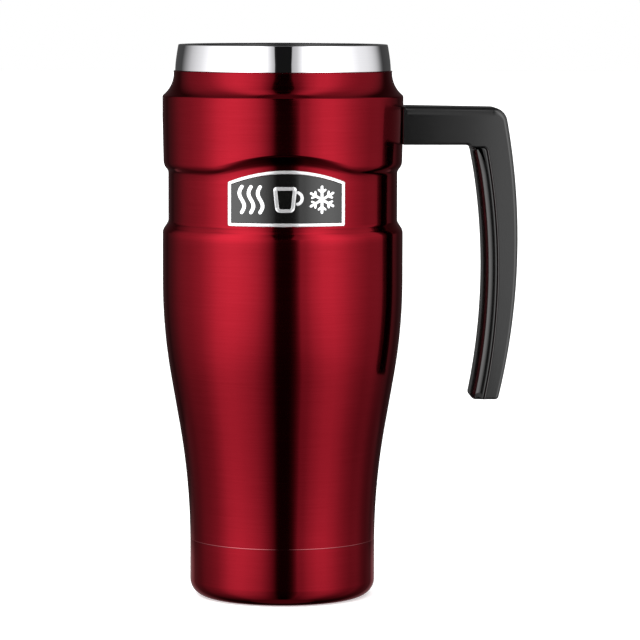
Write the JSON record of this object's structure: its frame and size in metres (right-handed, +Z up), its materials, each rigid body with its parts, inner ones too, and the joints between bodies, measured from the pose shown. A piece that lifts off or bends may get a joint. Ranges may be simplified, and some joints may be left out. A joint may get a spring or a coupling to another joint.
{
  "type": "insulated travel mug",
  "caption": "Tapered steel vacuum travel mug with a recessed waist and badge, an open-ended side handle and a screw-on drinking lid with a flip lever.",
  "frame": {"origin": "on the mug's own axis, in the plane of the foot ring that it stands on", "axes": "+Z up along the mug's axis, -Y towards the badge (the front), +X towards the handle"},
  "size_m": [0.1281, 0.087, 0.2],
  "materials": {
    "red_steel": "translucent cranberry-red lacquer over horizontally brushed steel",
    "bare_steel": "satin stainless steel",
    "polished_steel": "mirror-polished stainless steel",
    "braze": "dull braze metal",
    "copper_foil": "bright copper foil",
    "getter": "grey sintered metal",
    "badge_dark": "dark grey satin enamel",
    "badge_bright": "white-silver enamel",
    "black_plastic": "satin black moulded plastic",
    "black_grip": "soft black overmoulded grip",
    "lid_plastic": "fine-grained black plastic",
    "silicone": "translucent grey-white silicone"
  },
  "bodies": {
    "mug": {"outer_shell": "red_steel", "base_cup": "red_steel", "base_disc": "bare_steel", "vacuum_seal": "braze", "inner_liner": "bare_steel", "foil_wrap": "copper_foil", "getter_pill": "getter", "getter_cup": "bare_steel", "badge_plate": "badge_dark", "badge_frame": "badge_bright", "handle_bracket": "bare_steel", "handle_shell": "black_plastic", "handle_grip": "black_grip", "handle_screws": "bare_steel"},
    "seal": {"lid_gasket": "silicone"},
    "lid": {"lid_band": "polished_steel", "lid_top": "lid_plastic", "lid_plug": "lid_plastic", "lever_pin": "bare_steel", "tea_hook": "lid_plastic"},
    "lever": {"lever": "lid_plastic", "lever_seal": "silicone", "vent_seal": "silicone"}
  },
  "joints": [
    {"name": "lid_lift", "type": "slide", "parent": "mug", "child": "seal", "axis": [0, 0, 1], "range_m": [0, 0.045]},
    {"name": "lid_turn", "type": "hinge", "parent": "seal", "child": "lid", "pos_m": [0, 0, 0.19], "axis": [0, 0, 1], "range_deg": [0, 1080]},
    {"name": "lever_flip", "type": "hinge", "parent": "lid", "child": "lever", "pos_m": [0, 0.003, 0.1964], "axis": [-1, 0, 0], "range_deg": [0, 150]}
  ],
  "couplings": [
    {"joint": "lid_lift", "follows": "lid_turn", "m_per_rad": 0.0023873}
  ]
}
